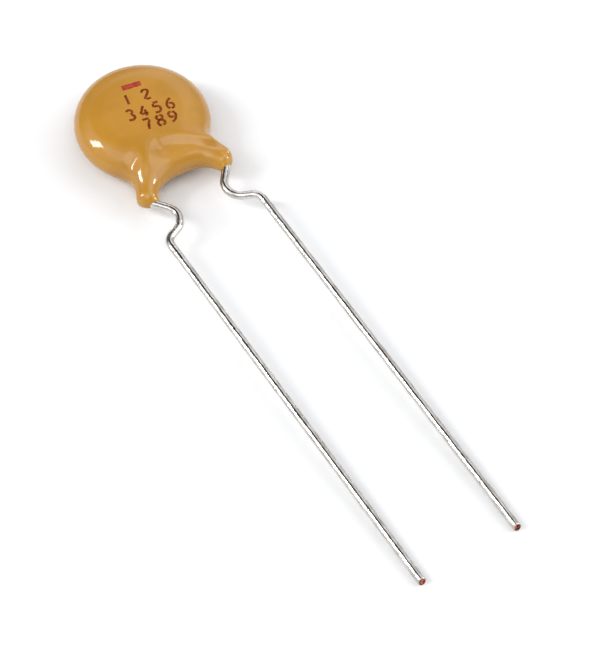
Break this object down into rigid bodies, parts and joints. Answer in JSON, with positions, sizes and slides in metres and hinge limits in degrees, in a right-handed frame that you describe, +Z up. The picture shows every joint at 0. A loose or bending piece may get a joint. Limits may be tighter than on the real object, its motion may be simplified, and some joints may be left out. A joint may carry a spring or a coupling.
{
  "type": "ceramic disc capacitor",
  "caption": "Dipped ceramic disc capacitor with a glossy ochre coat and two kinked tinned leads for through-hole boards.",
  "frame": {"origin": "centre of the part's box on the table that it lies on", "axes": "+Z up from the table through the marked face, +Y from the cut lead ends towards the disc, +X from the front lead's leg towards the back lead's leg"},
  "size_m": [0.0098, 0.046, 0.0034],
  "materials": {
    "epoxy_coat": "glossy ochre dipped epoxy",
    "ceramic": "matt fired ceramic",
    "fired_silver": "matt fired silver",
    "solder": "satin solder",
    "tinned_wire": "bright tin"
  },
  "bodies": {
    "root": {"coating": "epoxy_coat", "ceramic_disc": "ceramic", "front_electrode": "fired_silver", "back_electrode": "fired_silver", "front_solder": "solder", "back_solder": "solder", "front_lead": "tinned_wire", "back_lead": "tinned_wire"}
  },
  "joints": []
}
